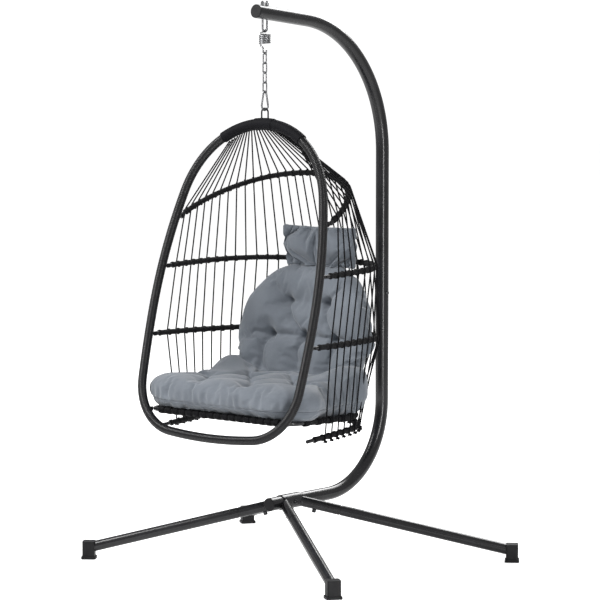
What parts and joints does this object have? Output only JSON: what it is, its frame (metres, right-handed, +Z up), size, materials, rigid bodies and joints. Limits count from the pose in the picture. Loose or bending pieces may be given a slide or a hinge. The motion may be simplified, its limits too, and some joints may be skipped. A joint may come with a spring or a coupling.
{
  "type": "hanging egg chair",
  "caption": "Corded egg-shaped hanging seat with a tufted cushion, hung from a spring and chain under a C-shaped steel floor stand.",
  "frame": {"origin": "on the floor under the middle of the whole chair's box, midway between the front feet and the mast's back", "axes": "+Z up; the sitter faces -Y; +X is the sitter's left; the mast stands behind the basket on the +Y side"},
  "size_m": [1.3286, 1.0307, 1.9968],
  "materials": {
    "graphite_paint": "satin graphite powder coat",
    "plain_steel": "bare drawn steel, hidden inside",
    "zinc": "bright zinc plate",
    "black_plastic": "fine-grained black plastic",
    "charcoal_weave": "tight spiral of charcoal synthetic cord",
    "black_rope": "chunky near-black synthetic rope",
    "black_webbing": "flat woven webbing",
    "cushion_fabric": "matte blue-grey woven outdoor fabric"
  },
  "bodies": {
    "stand": {"mast_lower": "graphite_paint", "mast_upper": "graphite_paint", "mast_joint_sleeve": "plain_steel", "mast_joint_bolt": "zinc", "hub_bolt": "zinc", "arm_end_cap": "black_plastic", "hub_end_cap": "black_plastic", "base_hub": "graphite_paint", "leg_screws": "zinc", "u_bolt": "zinc", "u_bolt_washers": "zinc", "u_bolt_nuts": "zinc", "leg_front_left": "graphite_paint", "leg_front_right": "graphite_paint", "leg_rear_left": "graphite_paint", "leg_rear_right": "graphite_paint", "foot_front_left": "black_plastic", "foot_front_right": "black_plastic", "foot_rear_left": "black_plastic", "foot_rear_right": "black_plastic"},
    "spring_upper": {"spring_top_hook": "zinc", "spring_coil": "zinc"},
    "spring_lower": {"spring_bottom_hook": "zinc"},
    "link_1": {"chain_link_1": "zinc"},
    "link_2": {"chain_link_2": "zinc"},
    "link_3": {"chain_link_3": "zinc"},
    "link_4": {"chain_link_4": "zinc"},
    "clip": {"clip_body": "zinc", "clip_gate_pin": "zinc"},
    "gate": {"clip_gate": "zinc"},
    "basket": {"hoop_tube": "plain_steel", "hoop_wrap": "charcoal_weave", "crown_wrap": "black_rope", "hanging_eye": "zinc", "bottom_rib_plugs": "black_plastic", "seat_frame": "graphite_paint", "seat_frame_wrap": "black_rope", "seat_front_wrap": "black_rope", "seat_straps": "black_webbing", "frame_lugs": "graphite_paint", "rib_rivets": "zinc", "net_cords": "black_rope", "seat_cushion": "cushion_fabric", "head_pillow": "cushion_fabric", "upper_rib_tube": "graphite_paint", "upper_rib_wrap": "black_rope", "middle_rib_tube": "graphite_paint", "middle_rib_wrap": "black_rope", "lower_rib_tube": "graphite_paint", "lower_rib_wrap": "black_rope", "bottom_rib_tube": "graphite_paint", "bottom_rib_wrap": "black_rope"}
  },
  "joints": [
    {"name": "swing_fore_aft", "type": "hinge", "parent": "stand", "child": "spring_upper", "pos_m": [0, -0.1686, 1.896], "axis": [1, 0, 0], "range_deg": [-20, 9]},
    {"name": "spring_stretch", "type": "slide", "parent": "spring_upper", "child": "spring_lower", "axis": [0, 0, -1], "range_m": [0, 0.02], "stiffness_N_per_m": 25000, "springref_m": -0.006, "deforming": ["spring_coil"]},
    {"name": "swing_sideways", "type": "hinge", "parent": "spring_lower", "child": "link_1", "pos_m": [0, -0.1686, 1.8172], "axis": [0, 1, 0], "range_deg": [-12, 12]},
    {"name": "twist_link_2", "type": "hinge", "parent": "link_1", "child": "link_2", "pos_m": [0, -0.1686, 1.78055], "axis": [0, 0, 1], "range_deg": [-17, 17]},
    {"name": "twist_link_3", "type": "hinge", "parent": "link_2", "child": "link_3", "pos_m": [0, -0.1686, 1.74655], "axis": [0, 0, 1], "range_deg": [-17, 17]},
    {"name": "twist_link_4", "type": "hinge", "parent": "link_3", "child": "link_4", "pos_m": [0, -0.1686, 1.71255], "axis": [0, 0, 1], "range_deg": [-17, 17]},
    {"name": "twist_clip", "type": "hinge", "parent": "link_4", "child": "clip", "pos_m": [0, -0.1686, 1.68105], "axis": [0, 0, 1], "range_deg": [-14, 14]},
    {"name": "clip_gate_hinge", "type": "hinge", "parent": "clip", "child": "gate", "pos_m": [0, -0.17752, 1.66887], "axis": [1, 0, 0], "range_deg": [0, 14], "stiffness_Nm_per_rad": 0.05, "springref_deg": -11.46},
    {"name": "basket_spin", "type": "hinge", "parent": "clip", "child": "basket", "pos_m": [0, -0.1686, 1.62135], "axis": [0, 0, 1], "range_deg": [-25, 25]}
  ]
}
